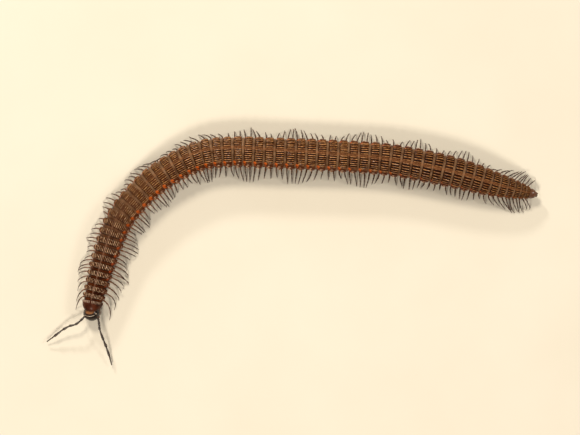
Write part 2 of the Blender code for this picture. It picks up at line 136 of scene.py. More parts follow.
# The first rings pass into the later ones here. Their crests start later, in two rows with a gap
# (place, half width, depth), behind a sunk part (end, length, depth) and on an arch (place, half
# length, height).
FRONT_FADE = (4.0, 12.0)
BAND_END = 0.22
FRONT_SHIFT = 0.11
ROW_GAP = (0.68, 0.055, 0.55)
FRONT_SINK = (0.36, 0.1, 0.04)
FRONT_ARCH = (0.75, 0.3, 0.022)

# Flat belly: how low it lies and how much of the roundness below that level is kept.
BELLY_LEVEL = 0.94
BELLY_ROUNDNESS = 0.18

# Smooth band: where its colour ends on later rings, what the first rings add, and its soft edge.
BAND_COLOUR_END = (0.25, 0.09)
BAND_SOFTNESS = 0.03
# Orange spots: angle, half width in degrees, length along the ring and strength.
SPOTS = [(63.0, 7.0, 0.15, 1.0), (78.0, 3.5, 0.13, 0.8)]
SPOT_BEHIND = 0.05
SPOT_RISE = (2.0, 3.0)
FIRST_SPOT = 0.4
FRONT_SPOT_LOSS = 0.35
TAIL_SPOT_LOSS = 0.5
RIGHT_SPOT_LOSS = 0.3
RIGHT_LOSS_ANGLE = 60.0
# Reddish streak along the front spots: angle, half width, strength and soft end.
STREAK = (70.0, 14.0, 0.42, 0.06)
STREAK_FADE = (14.0, 6.0)
# Pale middle line: strength and half width on later rings with what the first rings add, the place
# where it is faint, and its overlap and loss on the band of the first rings.
LINE_STRENGTH = (0.8, 0.15)
LINE_WIDTH = (5.0, -2.4)
FAINT_LINE = (11.5, 4.5, 0.45)
BAND_LINE = (0.04, 0.65)
# Start and softness of the belly's colour, middle and half width of the flank's, in degrees.
BELLY_COLOUR = (118.0, 25.0)
FLANK_COLOUR = (80.0, 19.0)

# Ring profile: place along the ring, share of the radius, and how far the crests are raised.
RING_PROFILE = [
    (-0.26, 0.6, 0.0), (-0.25, 0.8, 0.0), (-0.12, 0.86, 0.0), (0.0, 0.893, 0.0),
    (0.05, 0.903, 0.0), (0.11, 0.91, 0.0), (0.165, 0.906, 0.0), (0.2, 0.895, 0.0),
    (0.22, 0.872, 0.0), (0.245, 0.872, 0.06), (0.275, 0.893, 0.34), (0.315, 0.906, 0.62),
    (0.37, 0.914, 0.82), (0.46, 0.919, 0.94), (0.57, 0.922, 1.0), (0.68, 0.924, 1.04),
    (0.79, 0.926, 1.06), (0.87, 0.927, 1.08), (0.93, 0.927, 1.08), (0.965, 0.925, 1.0),
    (0.99, 0.918, 0.78), (1.004, 0.902, 0.42), (1.004, 0.88, 0.15), (0.985, 0.85, 0.0),
    (0.96, 0.79, 0.0),
]

# Stance of the feet, the same as in the solids: middles of the bunches, how far the feet are drawn
# together and in between them, and the swings, reaches and tucks along the trunk.
BUNCHES = (2.0, 5.2, 8.2, 11.5, 15.2, 20.7, 26.0, 30.2, 37.7, 42.6, 47.2, 52.8, 57.0)
BUNCH_PULL = 0.06
DRAWN_IN = 0.46
DRAWN_RISE = (3.0, 5.0)
BEND_START = 9.0
BEND_END = 21.0
INNER_PULL = 0.4
OUTER_BEND = (18.5, 6.0)
OUTER_SWING = 0.95
OUTER_TUCK = 0.42
LEFT_TUCKS = [(19.5, 3.0, 0.25), (44.5, 4.5, 0.48)]
SWING_FRONT = 1.6
SWING_FADE = 6.0
SWING_TAIL = 1.0
TAIL_SWING = (45.0, 9.0)
REACH_FRONT = 1.7
REACH_MIDDLE = 1.25
REACH_TAIL = 1.13
REACH_DROP = (2.0, 14.0)
REACH_FALL = (38.0, 12.0)
RIGHT_TUCK = 0.42
TUCK_END = (4.0, 10.0)
FRONT_TUCK = 0.85
FRONT_TUCK_END = (2.0, 4.0)
KNEE_HEIGHT = 0.88
LEG_LAST = 1.05
LEG_SIDES = 8
# Variation of single legs: reach, swing, curl and the few that are lifted off the ground.
REACH_EXTRA = 0.08
REACH_SCATTER = 0.13
SWING_SCATTER = 0.09
CURL_FADE = 9.0
CURL_SCATTER = 0.25
LIFTED_SHARE = 0.06
LIFT = 0.45
LIFT_PULL = 0.12
LEG_THICKENING = 1.42
LEG_DARKENING = (12.0, 10.0)
LEG_DARKER = 0.16

# The photo's view: distance to the middle, width of the picture there, tilt and level looked at.
VIEW_DISTANCE = 200.0
VIEW_WIDTH = 58.0
VIEW_TILT = 6.0
VIEW_HEIGHT = 1.5


def smooth(value):
    """0 up to 0, 1 from 1 on, and smooth between."""
    value = np.clip(value, 0.0, 1.0)
    return value * value * (3.0 - 2.0 * value)


def ease(s, span):
    """How far a change along the trunk has come, from its start over its length."""
    start, length = span
    return smooth((s - start) / length)


def bump(value, middle, width):
    """A smooth hump of height 1 round the middle."""
    return np.exp(-((value - middle) / width) ** 2)


def unit(vector):
    """The direction of a vector."""
    return vector / np.linalg.norm(vector)


def placed(axes, along, across, height):
    """Points given by their lengths along three axes from a middle."""
    middle, first, second, third = axes
    return (middle + np.asarray(along)[..., None] * first + np.asarray(across)[..., None] * second
            + np.asarray(height)[..., None] * third)


def new_object(name, data):
    """An object in the scene."""
    obj = bpy.data.objects.new(name, data)
    bpy.context.scene.collection.objects.link(obj)
    return obj


def centre_line():
    """Dense points of the smooth centre line, with length and heading."""
    knots = [np.array(p) for p in CENTRE_LINE]
    knots = [2 * knots[0] - knots[1]] + knots + [2 * knots[-1] - knots[-2]]
    curve = []
    for a, b, c, d in zip(knots, knots[1:], knots[2:], knots[3:]):
        for t in np.linspace(0.0, 1.0, CURVE_STEPS, endpoint=False):
            curve.append(0.5 * (2 * b + (c - a) * t + (2 * a - 5 * b + 4 * c - d) * t ** 2
                                + (3 * b - a - 3 * c + d) * t ** 3))
    curve.append(knots[-2])
    points = np.array(curve)
    lengths = np.concatenate([[0.0], np.cumsum(np.linalg.norm(np.diff(points, axis=0), axis=1))])
    turn = np.gradient(points, lengths, axis=0)
    return points, lengths, np.unwrap(np.arctan2(turn[:, 1], turn[:, 0]))


POINTS, LENGTHS, HEADINGS = centre_line()
TOTAL = float(LENGTHS[-1])


def half_width(s):
    """Half the width of the trunk over its pore crests."""
    s = np.asarray(s, float)
    growth = FRONT_SHARE + (1.0 - FRONT_SHARE) * (1.0 - np.exp(-(s - GROWTH_START) / FRONT_GROWTH))
    left = np.clip(TOTAL - s, 0.0, TAIL_TAPER)
    taper = (1.0 - (1.0 - left / TAIL_TAPER) ** TAIL_POWER) ** TAIL_ROUND
    return HALF_WIDTH * growth * taper


def roll(s):
    """Lean of the back towards the right side, in radians."""
    rise = ROLL_FRONT + (ROLL_MIDDLE - ROLL_FRONT) * ease(s, ROLL_RISE)
    return np.radians(rise + (ROLL_TAIL - ROLL_MIDDLE) * ease(s, ROLL_FALL))


def frame_at(s):
    """Middle of the trunk with the directions to the tail, to the right side and up."""
    inside = min(max(s, 0.0), TOTAL)
    x, y, heading = [np.interp(inside, LENGTHS, line) for line in (*POINTS.T, HEADINGS)]
    lean = roll(s)
    radius = half_width(s)
    z = CLEARANCE + radius * (BELLY_SHARE * math.cos(lean) + BELLY_EDGE_SHARE * math.sin(abs(lean)))
    tail = np.array((math.cos(heading), math.sin(heading), 0.0))
    level = np.array((-math.sin(heading), math.cos(heading), 0.0))
    right = level * math.cos(lean) - VERTICAL * math.sin(lean)
    up = level * math.sin(lean) + VERTICAL * math.cos(lean)
    return np.array((x, y, z)) + tail * (s - inside), tail, right, up


def ring_bounds():
    """Where each ring starts, from the neck shield to the tail end."""
    starts = [RING_START]
    end = TOTAL - TELSON_LENGTH
    while starts[-1] < end:
        starts.append(starts[-1] + RING_PITCH_SHARE * half_width(starts[-1]))
    starts.pop()
    stretch = (end - RING_START) / (starts[-1] - RING_START)
    return [RING_START + (start - RING_START) * stretch for start in starts]


BOUNDS = ring_bounds()


def node_spans():
    """First and last ring boundary of each trunk node."""
    cuts = [int(np.argmin(np.abs(np.array(BOUNDS) - place))) for place in NODE_ENDS]
    return list(zip([0] + cuts, cuts + [len(BOUNDS) - 1]))


class Builder:
    """Collects grids of points, with named values at each point, into one mesh."""

    def __init__(self, names=()):
        self.points = []
        self.quads = []
        self.tris = []
        self.values = {name: [] for name in names}
        self.count = 0

    def add_points(self, points, values):
        """Keep points with their values; gives the number of the first."""
        first = self.count
        self.points.append(points.reshape(-1, 3))
        for name, store in self.values.items():
            value = np.broadcast_to(values.get(name, 0.0), points.shape[:-1])
            store.append(np.asarray(value, float).reshape(-1))
        self.count += len(self.points[-1])
        return first

    def grid(self, points, values=None):
        """A closed tube of loops: points has the shape (loops, points round, 3)."""
        values = values or {}
        rows, columns = points.shape[:2]
        first = self.add_points(points, values)
        index = first + np.arange(rows * columns).reshape(rows, columns)
        after = np.roll(index, -1, axis=1)
        self.quads.append(np.stack([index[:-1], after[:-1], after[1:], index[1:]], -1).reshape(-1, 4))
        for end in (0, rows - 1):
            ends = {name: np.broadcast_to(value, (rows, columns))[end].mean()
                    for name, value in values.items()}
            centre = self.add_points(points[end].mean(axis=0), ends)
            pair = (after[end], index[end]) if end == 0 else (index[end], after[end])
            self.tris.append(np.stack([*pair, np.full(columns, centre)], -1))

    def build(self, name, material, replaces=()):
        """Make the mesh object, in metres, riding on the one body."""
        points = (np.concatenate(self.points) - ORIGIN) * MM
        faces = [np.concatenate(self.quads), np.concatenate(self.tris)]
        sizes = np.concatenate([np.full(len(group), group.shape[1]) for group in faces])
        corners = np.concatenate([group.reshape(-1) for group in faces])
        mesh = bpy.data.meshes.new(name)
        mesh.vertices.add(len(points))
        mesh.vertices.foreach_set("co", points.astype(np.float32).ravel())
        mesh.loops.add(len(corners))
        mesh.loops.foreach_set("vertex_index", corners.astype(np.int32))
        mesh.polygons.add(len(sizes))
        starts = np.concatenate([[0], np.cumsum(sizes)[:-1]])
        mesh.polygons.foreach_set("loop_start", starts.astype(np.int32))
        mesh.update(calc_edges=True)
        mesh.validate()
        for key, store in self.values.items():
            attribute = mesh.attributes.new(key, "FLOAT", "POINT")
            attribute.data.foreach_set("value", np.concatenate(store).astype(np.float32))
        mesh.shade_smooth()
        mesh.materials.append(material)
        obj = new_object(name, mesh)
        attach(obj, "root")
        if replaces:
            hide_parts(*replaces)


def tube(path, radii, sides, reference=VERTICAL):
    """Loops round a path; the reference is a direction that the path never takes."""
    path = np.asarray(path, float)
    step = np.gradient(path, axis=0)
    step /= np.linalg.norm(step, axis=1)[:, None]
    side = np.cross(step, reference)
    side /= np.linalg.norm(side, axis=1)[:, None]
    rise = np.cross(side, step)
    angle = np.linspace(0.0, 2.0 * math.pi, sides, endpoint=False)
    radii = np.asarray(radii, float)[:, None, None]
    angle = angle[:, None]
    ring = side[:, None, :] * np.cos(angle) - rise[:, None, :] * np.sin(angle)
    return path[:, None, :] + ring * radii


def around():
    """Angles round the trunk, close on the back and flanks and wide apart on the belly."""
    flank_end, step, belly_points = 138.0, 1.15, 20
    back = np.arange(-flank_end, flank_end + 0.01, step)
    belly = np.linspace(flank_end, 360.0 - flank_end, belly_points)[1:-1]
    return np.radians(np.concatenate([back, belly]))


THETA = around()
DEGREES = np.degrees(THETA)
SIDE_DEGREES = np.abs(np.where(DEGREES > 180.0, DEGREES - 360.0, DEGREES))


def crest_heights(s):
    """Crest height round the trunk, and how pale each crest is, 0 to 1."""
    height = np.zeros_like(THETA)
    share = np.zeros_like(THETA)
    rear = ease(s, TAIL_CREST)
    flank_crests = [(angle, width, size, angle, 1.0) for angle, width, size in FLANK_CRESTS]
    for angle, width, size, tail_angle, tail_share in BACK_CRESTS + flank_crests:
        on_back = angle < PORE_CREST[0]
        place = angle + (tail_angle - angle) * rear
        wide = width * (1.0 + TAIL_CREST_WIDENING * rear * on_back)
        shape = np.clip(1.0 - (np.abs(SIDE_DEGREES - place) / wide) ** CREST_POWER, 0.0, 1.0)
        keep = 1.0 + (tail_share - 1.0) * rear
        tone = min(1.0, LEAST_TONE + size / FULL_TONE_HEIGHT) * (1.0 if on_back else FLANK_TONE)
        tone *= 1.0 - TAIL_TONE_LOSS * rear
        height = np.maximum(height, shape * size * keep)
        share = np.maximum(share, shape * tone * min(1.0, KEPT_TONE * keep))
    return height, share


def ring_profile(start):
    """Profile of a ring; the first rings have a longer bare part and two rows of short crests."""
    table = np.array(RING_PROFILE)
    u, share, raised = table[:, 0], table[:, 1], table[:, 2]
    early = 1.0 - ease(start, FRONT_FADE)
    shift = FRONT_SHIFT * early * smooth(u / BAND_END)
    u = u + shift * smooth((1.0 - u) / (1.0 - BAND_END))
    gap_place, gap_width, gap_depth = ROW_GAP
    rows = gap_depth * early * bump(u, gap_place, gap_width) * (raised > 0.5)
    sink_end, sink_length, sink_depth = FRONT_SINK
    sunk = sink_depth * early * smooth((sink_end - u) / sink_length)
    arch_place, arch_length, arch_height = FRONT_ARCH
    arch = arch_height * early * np.clip(1.0 - ((u - arch_place) / arch_length) ** 2, 0.0, 1.0)
    return u, share - sunk + arch, raised * (1.0 - rows), early


def rough_crests(rows, early, rng):
    """Unevenness of the crests, round the ring and at each point."""
    wobble = np.convolve(rng.standard_normal(len(THETA)), np.ones(5) / 5, mode="same")
    chips = rng.standard_normal((rows, len(THETA)))
    chips = np.apply_along_axis(np.convolve, 1, chips, np.ones(4) / 4, mode="same")
    rough = 1.0 + CREST_WOBBLE * wobble + (CHIPS[0] + CHIPS[1] * early) * chips
    return np.minimum(rough, CREST_LIMIT[0] + CREST_LIMIT[1] * early)


def pore_share(u, early):
    """Share of the pore crest's height over the ring."""
    start, shift, rise, end, fall = PORE_LOBE
    lobe = smooth((u - start - shift * early) / rise) * smooth((end - u) / fall)
    return np.outer(lobe, bump(SIDE_DEGREES, *PORE_CREST[:2]))


def knob_heights(u, early, scale):
    """Heights of the knobs on the flank."""
    heights = np.zeros((len(u), len(THETA)))
    for angle, place, size in FLANK_NODULES:
        hump = np.outer(bump(u, place, KNOB_LENGTH), bump(SIDE_DEGREES, angle, KNOB_WIDTH))
        heights = np.maximum(heights, size * (1.0 - FRONT_KNOB_LOSS * early) * scale * hump)
    return heights


def spot_share(u, start, early, edge):
    """Share of the orange spots before the pores, and of the streak that joins the front ones."""
    spot = np.zeros((len(u), len(THETA)))
    for angle, width, length, strength in SPOTS:
        along = strength * bump(u, edge + SPOT_BEHIND, length)
        spot = spot + np.outer(along, bump(SIDE_DEGREES, angle, width))
    angle, width, strength, softness = STREAK
    along = strength * (1.0 - ease(start, STREAK_FADE)) * smooth((edge + SPOT_BEHIND - u) / softness)
    spot = spot + np.outer(along, bump(SIDE_DEGREES, angle, width))
    fade = (1.0 - FRONT_SPOT_LOSS * early) * (1.0 - TAIL_SPOT_LOSS * ease(start, TAIL_CREST))
    fade *= FIRST_SPOT + (1.0 - FIRST_SPOT) * ease(start, SPOT_RISE)
    right_loss = RIGHT_SPOT_LOSS * smooth(DEGREES / RIGHT_LOSS_ANGLE)
    return np.clip(spot * fade * (1.0 - right_loss), 0.0, 1.0)


def line_share(u, start, early, edge):
    """Share of the pale line along the middle of the back."""
    faint_place, faint_length, faint_loss = FAINT_LINE
    strength = LINE_STRENGTH[0] + LINE_STRENGTH[1] * early
    strength -= faint_loss * bump(start, faint_place, faint_length)
    line = strength * bump(SIDE_DEGREES, 0.0, LINE_WIDTH[0] + LINE_WIDTH[1] * early)
    overlap, loss = BAND_LINE
    on_band = smooth((edge + overlap - u) / (2.0 * overlap))
    return np.outer(1.0 - loss * early * on_band, line)


def ring_values(u, start, raised, early, crest_share, pore, knobs):
    """What colours each point of a ring."""
    # The pale tip of the pore crest is a painted glint; it also pales the crest, the knobs and the first
    # rings' shares there.
    angle, width, place, length = PORE_GLINT
    tip = np.outer(bump(u, place + GLINT_SHIFT * early, length), bump(SIDE_DEGREES, angle, width))
    top = np.outer(smooth((raised - PALE_FROM[0]) / PALE_FROM[1]), crest_share)
    top = np.maximum(top, np.maximum(PORE_TONE * pore, tip))
    knobs = np.maximum(knobs, GLINT_KNOB * tip)
    edge = BAND_COLOUR_END[0] + BAND_COLOUR_END[1] * early
    belly_start, belly_length = BELLY_COLOUR
    return {
        "crest": np.maximum(top, knobs),
        "band": smooth((edge - u) / BAND_SOFTNESS)[:, None],
        "spot": spot_share(u, start, early, edge),
        "line": line_share(u, start, early, edge),
        "belly": smooth((SIDE_DEGREES - belly_start) / belly_length),
        "front": np.maximum(early, tip * (GLINT_FRONT[0] + GLINT_FRONT[1] * early)),
        "knob_tone_and_glint": knobs,
        "flank": bump(SIDE_DEGREES, *FLANK_COLOUR),
    }


def ring_grid(index, rng):
    """Points and values of one ring, a closed shell that slips into the ring before it."""
    start, end = BOUNDS[index], BOUNDS[index + 1]
    pitch = end - start
    tail = unit(frame_at(end)[0] - frame_at(start)[0])
    middle, _, right, _ = frame_at((start + end) / 2)
    right = unit(right - tail * right.dot(tail))
    up = np.cross(tail, right)
    u, share, raised, early = ring_profile(start)
    width = half_width(start + u * pitch)
    scale = half_width((start + end) / 2) / HALF_WIDTH
    crests, crest_share = crest_heights(start)
    rough = rough_crests(len(u), early, rng)
    crest = np.outer(raised, crests) * rough * scale * (1.0 + FRONT_CREST_RISE * early)
    pore = pore_share(u, early)
    shoulder = (PORE_CREST[2] + FRONT_PORE_RISE * early) * scale * pore
    nodules = knob_heights(u, early, scale)
    crest = crest * (1.0 - np.clip(nodules / KNOB_CLEARING, 0.0, 1.0))
    out = (width * share)[:, None] + crest + shoulder + nodules
    across = out * np.sin(THETA)
    height = out * HEIGHT_SHARE * np.cos(THETA)
    floor_level = -BELLY_SHARE * (width * share)[:, None] * BELLY_LEVEL
    flattened = floor_level + BELLY_ROUNDNESS * (height - floor_level)
    height = np.where(height < floor_level, flattened, height)
    points = placed((middle, tail, right, up), ((u - 0.5) * pitch)[:, None], across, height)
    # The knobs grow paler with height: partly a paler tone of their own, partly painted highlight on their
    # tops.
    knobs = np.clip(nodules / (KNOB_PALE_HEIGHT * scale), 0.0, 1.0)
    return points, ring_values(u, start, raised, early, crest_share, pore, knobs)


def add_node(tree, kind, **settings):
    """A shader node with its plain settings."""
    node = tree.nodes.new(kind)
    for key, value in settings.items():
        setattr(node, key, value)
    return node


def feed(tree, node, values):
    """Give each named input of a shader node a socket, a colour or a number."""
    for key, value in values.items():
        socket = node.inputs[key]
        if isinstance(value, bpy.types.NodeSocket):
            tree.links.new(value, socket)
        elif socket.type == "RGBA":
            socket.default_value = (*value, 1.0)
        else:
            socket.default_value = value


def mix(tree, factor, low, high):
    """Mix two colours; each input is a socket or a fixed value."""
    node = add_node(tree, "ShaderNodeMix", data_type="RGBA")
    feed(tree, node, {0: factor, 6: low, 7: high})
    return node.outputs[2]


def times(tree, first, second):
    """A product clamped to 0 to 1; each input is a socket or a number."""
    node = add_node(tree, "ShaderNodeMath", operation="MULTIPLY", use_clamp=True)
    feed(tree, node, {0: first, 1: second})
    return node.outputs[0]


def noise(tree, scale, detail=3.0):
    """Noise in object space; scale is features per metre."""
    node = add_node(tree, "ShaderNodeTexNoise")
    place = add_node(tree, "ShaderNodeTexCoord").outputs["Object"]
    feed(tree, node, {"Vector": place, "Scale": scale, "Detail": detail, "Roughness": 0.55})
    return node.outputs["Fac"]


def ramp(tree, value, low, high, out_low=0.0, out_high=1.0):
    """Map a value from one range to another, clamped."""
    node = add_node(tree, "ShaderNodeMapRange")
    feed(tree, node, {"Value": value, "From Min": low, "From Max": high, "To Min": out_low,
                      "To Max": out_high})
    return node.outputs["Result"]


def mottling(tree, scale):
    """Soft patches, 0 to 1."""
    return ramp(tree, noise(tree, scale), 0.35, 0.65)


def value_of(tree, name):
    """A named value of the mesh."""
    return add_node(tree, "ShaderNodeAttribute", attribute_name=name).outputs["Fac"]


def new_material(name, coat=0.0, coat_roughness=0.2, specular=0.5):
    """An empty Principled material, its tree and its shader."""
    material = bpy.data.materials.new(name)
    material.use_nodes = True
    tree = material.node_tree
    shader = tree.nodes["Principled BSDF"]
    feed(tree, shader, {"Coat Weight": coat, "Coat Roughness": coat_roughness,
                        "Specular IOR Level": specular})
    return material, tree, shader


def add_bump(tree, shader, height, strength, distance):
    """Fine relief from a height value."""
    node = add_node(tree, "ShaderNodeBump")
    feed(tree, node, {"Height": height, "Strength": strength, "Distance": distance * MM})
    feed(tree, shader, {"Normal": node.outputs["Normal"]})


def trunk_material():
    """Brown crested chitin with greyish smooth bands, a pale line and orange spots; pale crest tops are
    partly painted highlight and the dark grooves partly painted shade.
    """
    material, tree, shader = new_material("crested_chitin", coat_roughness=0.14)
    front = value_of(tree, "front")
    line = value_of(tree, "line")
    mottle = mottling(tree, 1500.0)
    speck = ramp(tree, noise(tree, 4200.0, detail=2.0), 0.42, 0.6)
    fine = noise(tree, 9000.0, detail=4.0)
    # Dark grooves between the crests: partly the chitin's colour, partly painted shade.
    valley_and_shade = mix(tree, mottle, (0.006, 0.001, 0.0002), (0.022, 0.0045, 0.0007))
    valley_and_shade = mix(tree, value_of(tree, "flank"), valley_and_shade, (0.085, 0.017, 0.002))
    # Pale crest tops: partly the crests' own tone, partly painted highlight; the pale specks on the first
    # rings paint glints.
    ridge_and_highlight = mix(tree, speck, (0.28, 0.09, 0.016), (0.74, 0.34, 0.112))
    pale = mix(tree, speck, (0.2, 0.064, 0.018), (0.92, 0.6, 0.38))
    ridge_and_highlight = mix(tree, times(tree, front, 0.85), ridge_and_highlight, pale)
    crest_top = ramp(tree, value_of(tree, "crest"), 0.66, 1.0)
    colour = mix(tree, crest_top, valley_and_shade, ridge_and_highlight)
    # Pale tops of the knobs and the pore crest's tip: partly painted highlight, on the tip a painted
    # glint.
    knob_tone_and_glint = mix(tree, speck, (0.32, 0.155, 0.075), (0.76, 0.56, 0.42))
    colour = mix(tree, ramp(tree, value_of(tree, "knob_tone_and_glint"), 0.45, 1.0), colour, knob_tone_and_glint)
    band = mix(tree, mottle, (0.098, 0.042, 0.018), (0.245, 0.138, 0.074))
    reddish = mix(tree, mottle, (0.026, 0.005, 0.001), (0.088, 0.02, 0.0042))
    band = mix(tree, front, band, reddish)
    colour = mix(tree, times(tree, value_of(tree, "band"), 0.92), colour, band)
    streak = times(tree, line, ramp(tree, fine, 0.35, 0.65, 0.25, 1.0))
    middle = mix(tree, times(tree, front, front), (0.3, 0.122, 0.048), (0.54, 0.32, 0.22))
    colour = mix(tree, streak, colour, middle)
    belly = times(tree, value_of(tree, "belly"), 0.6)
    colour = mix(tree, belly, colour, (0.12, 0.052, 0.02))
    orange = mix(tree, front, (0.62, 0.115, 0.01), (0.42, 0.06, 0.006))
    colour = mix(tree, ramp(tree, value_of(tree, "spot"), 0.22, 0.7), colour, orange)
    sheen = ramp(tree, noise(tree, 2600.0), 0.3, 0.7, 0.2, 0.4)
    rough = mix(tree, ramp(tree, line, 0.0, 0.5), sheen, (0.75, 0.75, 0.75))
    shine = times(tree, crest_top, ramp(tree, front, 0.0, 1.0, 0.6, 1.0))
    feed(tree, shader, {"Base Color": colour, "Roughness": rough,
                        "Coat Weight": ramp(tree, shine, 0.2, 1.0, 0.0, 0.95),
                        "Specular IOR Level": ramp(tree, shine, 0.0, 1.0, 0.06, 0.5)})
    add_bump(tree, shader, fine, 0.9, 0.022)
    return material


def glossy_material(name, dark, light, roughness, coat):
    """Smooth glossy chitin between two browns."""
    material, tree, shader = new_material(name, coat=coat, coat_roughness=0.1)
    mottle = mottling(tree, 1800.0)
    rough = ramp(tree, noise(tree, 3500.0), 0.3, 0.7, roughness * 0.8, roughness * 1.25)
    feed(tree, shader, {"Base Color": mix(tree, mottle, dark, light), "Roughness": rough})
    add_bump(tree, shader, noise(tree, 12000.0, detail=4.0), 0.35, 0.008)
    return material


def shield_material():
    """Dark mahogany with pale crest tops along the rear edge."""
    material, tree, shader = new_material("shield_chitin", coat=0.1, coat_roughness=0.12, specular=0.12)
    mottle = mottling(tree, 1800.0)
    field = mix(tree, mottle, (0.022, 0.004, 0.0008), (0.08, 0.015, 0.0028))
    crest = mix(tree, mottle, (0.3, 0.19, 0.13), (0.6, 0.46, 0.36))
    colour = mix(tree, ramp(tree, value_of(tree, "crest"), 0.35, 0.8), field, crest)
    feed(tree, shader, {"Base Color": colour, "Roughness": 0.42})
    add_bump(tree, shader, noise(tree, 12000.0, detail=4.0), 0.45, 0.01)
    return material


def head_material():
    """Tan crown, turning to black on the face, with a pale painted highlight along an arc on top and at
    both rear corners.
    """
    material, tree, shader = new_material("head_chitin", coat=0.42, coat_roughness=0.1, specular=0.16)
    mottle = mottling(tree, 2600.0)
    crown = mix(tree, mottle, (0.17, 0.06, 0.02), (0.36, 0.16, 0.065))
    face = mix(tree, mottle, (0.008, 0.004, 0.003), (0.02, 0.009, 0.006))
    edge = ramp(tree, value_of(tree, "face"), 0.75, 1.1)
    colour = mix(tree, edge, crown, face)
    # Pale painted highlight on the arc across the top and at both rear corners.
    colour = mix(tree, ramp(tree, value_of(tree, "brow_ridge_and_glint"), 0.4, 0.95), colour, (0.72, 0.6, 0.47))
    feed(tree, shader, {"Base Color": colour, "Roughness": 0.28})
    add_bump(tree, shader, noise(tree, 12000.0, detail=4.0), 0.3, 0.008)
    return material


def leg_material():
    """Clear amber at the root, turning dark brown on the last joints."""
    material, tree, shader = new_material("leg_chitin", coat=0.25, coat_roughness=0.25)
    place = value_of(tree, "place")
    mottle = noise(tree, 5000.0)
    amber = mix(tree, mottle, (0.22, 0.06, 0.01), (0.36, 0.125, 0.024))
    dark = mix(tree, mottle, (0.024, 0.0055, 0.0012), (0.06, 0.016, 0.0035))
    colour = mix(tree, ramp(tree, place, 0.36, 0.66), amber, dark)
    colour = mix(tree, times(tree, value_of(tree, "joint"), 0.5), colour, (0.1, 0.035, 0.012))
    feed(tree, shader, {"Base Color": colour, "Roughness": 0.34, "Subsurface Weight": 0.25,
                        "Subsurface Radius": (0.0002, 0.0001, 0.00004), "Subsurface Scale": 1.0})
    add_bump(tree, shader, noise(tree, 15000.0), 0.3, 0.006)
    return material


def make_trunk(material):
    """The rings, in one joined skin for each length of the trunk."""
    names = ("crest", "band", "spot", "line", "belly", "front", "flank", "knob_tone_and_glint")
    for number, (first, last) in enumerate(node_spans(), start=1):
        builder = Builder(names)
        for index in range(first, last):
            points, values = ring_grid(index, RNG)
            builder.grid(points, values)
        builder.build("trunk_skin_%d" % number, material, ["trunk_%d" % number])


def foot_shift(s, side):
    """How far the foot stands towards the tail from its root."""
    forward = -SWING_FRONT * bump(s, 0.0, SWING_FADE)
    back = SWING_TAIL * ease(s, TAIL_SWING)
    low, high = bunch_span(s)
    pull = -BUNCH_PULL * (high - low) * math.sin(2.0 * math.pi * (s - low) / (high - low))
    if side < 0 and BEND_START < s < BEND_END:
        pull *= INNER_PULL
    return forward + back + pull - OUTER_SWING * outer_bend(s, side)


def outer_bend(s, side):
    """Share of the close forward stance of the legs on the outer side of the bend."""
    return bump(s, *OUTER_BEND) if side > 0 else 0.0


def reach(s, side):
    """How far the foot stands out past the trunk's flank."""
    out = REACH_FRONT + (REACH_MIDDLE - REACH_FRONT) * ease(s, REACH_DROP)
    out += (REACH_TAIL - REACH_MIDDLE) * ease(s, REACH_FALL)
    out -= FRONT_TUCK * (1.0 - ease(s, FRONT_TUCK_END))
    if side > 0:
        out -= RIGHT_TUCK * (1.0 - ease(s, TUCK_END))
    out -= OUTER_TUCK * outer_bend(s, side)
    if side < 0:
        out -= sum(tuck * bump(s, place, spread) for place, spread, tuck in LEFT_TUCKS)
    low, high = bunch_span(s)
    drawn_in = math.sin(math.pi * (s - low) / (high - low)) ** 2 * ease(s, DRAWN_RISE)
    return out * (1.0 - DRAWN_IN * drawn_in)


def bunch_span(s):
    """The middles of the bunches of feet before and behind a place."""
    after = next(i for i, place in enumerate(BUNCHES) if place > s)
    return BUNCHES[after - 1], BUNCHES[after]


# Joints of a leg: thickness at the inner and at the outer end.
LEG_JOINTS = [
    (0.125, 0.13), (0.1, 0.118), (0.092, 0.108), (0.086, 0.098), (0.078, 0.088),
    (0.066, 0.072), (0.05, 0.03),
]
# Steps along a joint: place, share of the inner and of the outer thickness, darkness of the seam.
LEG_STEPS = [(0.04, 0.88, 1.0, 0.8), (0.35, 1.0, 1.0, 0.0), (0.75, 1.0, 1.04, 0.0), (0.96, 0.9, 0.93, 0.6)]
LEG_ARCH = 0.012
CLAW_LENGTH = 0.12
CLAW_RADIUS = 0.01
FOOT_GAP = 0.002
# Root in shares of the trunk's radius: depth, then side and rise of hip, coxa and thigh, and the
# knee. The last two also have a share of the swing and what curling takes from it.
ROOT_DEPTH = 0.78
HIP = (0.3, 0.06)
COXA = (0.46, -0.1)
THIGH = (0.8, 0.24, 0.1, 0.07)
KNEE = (1.06, 0.02, 0.24, 0.15)
# Ends of the outer joints: share of the way from knee to foot and what curling adds, height and
# what lifting adds, share of the swing and what curling takes from it.
LEG_ENDS = [
    (0.34, 0.1, KNEE_HEIGHT - 0.03, 0.3, 0.45, 0.22), (0.64, 0.14, 0.6, 0.7, 0.7, 0.24),
    (0.87, 0.12, 0.28, 1.0, 0.9, 0.16), (1.0, 0.0, 0.035, 1.0, 1.0, -0.06),
]
# Places of the pairs along one of the first rings and along the others.
FIRST_PAIRS = (0.55,)
LATER_PAIRS = (0.3, 0.8)
THINNEST_LEG = 0.8


